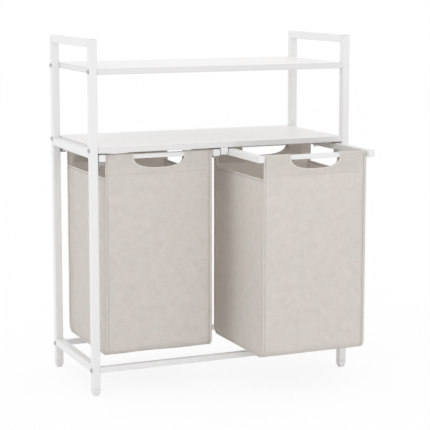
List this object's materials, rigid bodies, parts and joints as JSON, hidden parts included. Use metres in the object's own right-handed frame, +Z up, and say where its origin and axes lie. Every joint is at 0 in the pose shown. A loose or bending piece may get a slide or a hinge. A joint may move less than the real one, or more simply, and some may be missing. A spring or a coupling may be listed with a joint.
{
  "type": "laundry hamper with two bins",
  "caption": "White tube-frame laundry hamper with shelves above pull-out cloth bins that slide on round pegs; open handle cut-outs in the bags.",
  "frame": {"origin": "on the floor, under the middle of the whole object as it stands with the right bin pulled out", "axes": "+Z up, the front with the bins' handles towards -Y, +X to the right seen from the front"},
  "size_m": [0.737, 0.51, 0.908],
  "materials": {
    "stand_paint": "white powder coat, satin with a very fine texture",
    "shelf_board": "white melamine-faced particle board with matching edge band",
    "bag_cloth": "warm beige woven polyester cloth with stitched hems",
    "cap_plastic": "moulded white plastic",
    "foot_plastic": "moulded off-white plastic",
    "peg_plastic": "light grey nylon, turned",
    "bolt_steel": "zinc-plated steel"
  },
  "bodies": {
    "frame": {"front_left_post": "stand_paint", "front_left_foot": "foot_plastic", "front_left_peg": "peg_plastic", "front_left_top_shelf_bolt": "bolt_steel", "front_left_middle_shelf_bolt": "bolt_steel", "front_left_cross_rail_bolt": "bolt_steel", "back_left_post": "stand_paint", "back_left_foot": "foot_plastic", "back_left_peg": "peg_plastic", "back_left_top_shelf_bolt": "bolt_steel", "back_left_middle_shelf_bolt": "bolt_steel", "back_left_cross_rail_bolt": "bolt_steel", "left_top_bar": "stand_paint", "left_middle_rail": "stand_paint", "left_bottom_rail": "stand_paint", "front_right_post": "stand_paint", "front_right_foot": "foot_plastic", "front_right_peg": "peg_plastic", "front_right_top_shelf_bolt": "bolt_steel", "front_right_middle_shelf_bolt": "bolt_steel", "front_right_cross_rail_bolt": "bolt_steel", "back_right_post": "stand_paint", "back_right_foot": "foot_plastic", "back_right_peg": "peg_plastic", "back_right_top_shelf_bolt": "bolt_steel", "back_right_middle_shelf_bolt": "bolt_steel", "back_right_cross_rail_bolt": "bolt_steel", "right_top_bar": "stand_paint", "right_middle_rail": "stand_paint", "right_bottom_rail": "stand_paint", "front_bottom_rail": "stand_paint", "back_bottom_rail": "stand_paint", "top_shelf": "shelf_board", "middle_shelf": "shelf_board", "centre_rail": "stand_paint", "centre_rail_front_cap": "cap_plastic", "centre_rail_front_screw": "bolt_steel", "centre_rail_front_pin": "peg_plastic", "centre_rail_back_cap": "cap_plastic", "centre_rail_back_screw": "bolt_steel", "centre_rail_back_pin": "peg_plastic"},
    "left_bin": {"left_bin_outer_runner": "stand_paint", "left_bin_outer_runner_cap": "cap_plastic", "left_bin_outer_runner_shoe": "cap_plastic", "left_bin_inner_runner": "stand_paint", "left_bin_inner_runner_cap": "cap_plastic", "left_bin_inner_runner_shoe": "cap_plastic", "left_bin_front_bar": "stand_paint", "left_bin_back_bar": "stand_paint", "left_bin_bag": "bag_cloth"},
    "right_bin": {"right_bin_outer_runner": "stand_paint", "right_bin_outer_runner_cap": "cap_plastic", "right_bin_outer_runner_shoe": "cap_plastic", "right_bin_inner_runner": "stand_paint", "right_bin_inner_runner_cap": "cap_plastic", "right_bin_inner_runner_shoe": "cap_plastic", "right_bin_front_bar": "stand_paint", "right_bin_back_bar": "stand_paint", "right_bin_bag": "bag_cloth"}
  },
  "joints": [
    {"name": "left_bin_slide", "type": "slide", "parent": "frame", "child": "left_bin", "axis": [0, -1, 0], "range_m": [0, 0.235]},
    {"name": "right_bin_slide", "type": "slide", "parent": "frame", "child": "right_bin", "axis": [0, -1, 0], "range_m": [-0.18, 0.055]}
  ]
}
